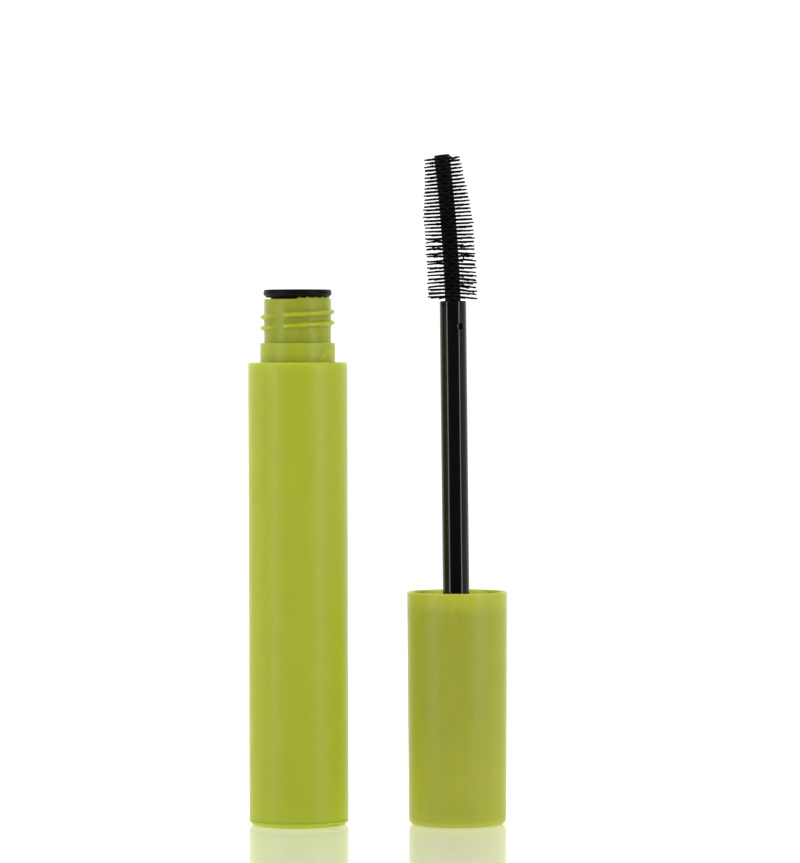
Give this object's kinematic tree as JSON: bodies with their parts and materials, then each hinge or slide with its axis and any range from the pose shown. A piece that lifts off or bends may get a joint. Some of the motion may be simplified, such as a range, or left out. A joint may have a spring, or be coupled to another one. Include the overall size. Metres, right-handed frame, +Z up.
{
  "type": "mascara tube",
  "caption": "Open mascara: round screw-neck bottle with wiper, and a screw cap with stem and curved moulded brush standing upside down beside it.",
  "frame": {"origin": "centre of the bottle's base, on the surface it stands on", "axes": "+Z up along the bottle's axis, towards its mouth; +X to the applicator standing beside it; -Y is the front"},
  "size_m": [0.0443, 0.0172, 0.1148],
  "materials": {
    "bottle_plastic": "satin lime green, slightly translucent",
    "wiper_elastomer": "satin black",
    "cap_plastic": "satin lime green, slightly translucent",
    "inner_cap_plastic": "satin lime green",
    "washer_foam": "matt off-white",
    "stem_plastic": "glossy black",
    "brush_plastic": "satin black",
    "bristle_plastic": "satin black"
  },
  "bodies": {
    "bottle": {"bottle": "bottle_plastic", "wiper": "wiper_elastomer"},
    "seal": {"seal_washer": "washer_foam"},
    "applicator": {"cap_shell": "cap_plastic", "inner_cap": "inner_cap_plastic", "stem": "stem_plastic", "brush_core": "brush_plastic", "bristles": "bristle_plastic"}
  },
  "joints": [
    {"name": "applicator_lift", "type": "slide", "parent": "bottle", "child": "seal", "axis": [0, 0, 1], "range_m": [0, 0.12]},
    {"name": "cap_twist", "type": "hinge", "parent": "seal", "child": "applicator", "pos_m": [0.0272, 0, 0.0267], "axis": [0, 0, 1], "continuous": true}
  ]
}
